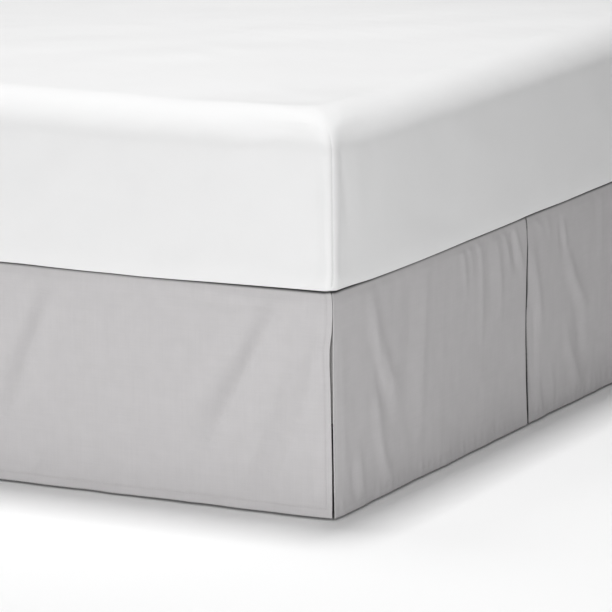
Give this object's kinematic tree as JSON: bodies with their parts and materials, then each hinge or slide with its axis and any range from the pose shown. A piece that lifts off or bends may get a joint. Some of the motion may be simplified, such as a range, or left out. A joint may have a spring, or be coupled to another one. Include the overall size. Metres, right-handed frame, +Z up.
{
  "type": "bed skirt on a mattress and bed base",
  "caption": "Tailored bed skirt with hemmed drops, box pleats and split corners, turned over a bed base's edge and held under its mattress.",
  "frame": {"origin": "centre of the bed's outline, on the floor", "axes": "+Y from the foot end to the head end, +Z up, +X to the right as seen from the foot end"},
  "size_m": [1.5322, 2.0356, 0.6908],
  "materials": {
    "skirt_cloth": "brushed light grey microfibre",
    "mattress_cover": "plain white brushed cover",
    "base_cover": "plain non-woven cover",
    "leg_finish": "matt black"
  },
  "bodies": {
    "root": {"deck": "skirt_cloth", "foot_panel": "skirt_cloth", "side_panel_left": "skirt_cloth", "side_panel_right": "skirt_cloth", "foundation": "base_cover", "mattress": "mattress_cover", "leg_foot_left": "leg_finish", "leg_foot_right": "leg_finish", "leg_middle_left": "leg_finish", "leg_middle_right": "leg_finish", "leg_head_left": "leg_finish", "leg_head_right": "leg_finish"}
  },
  "joints": []
}
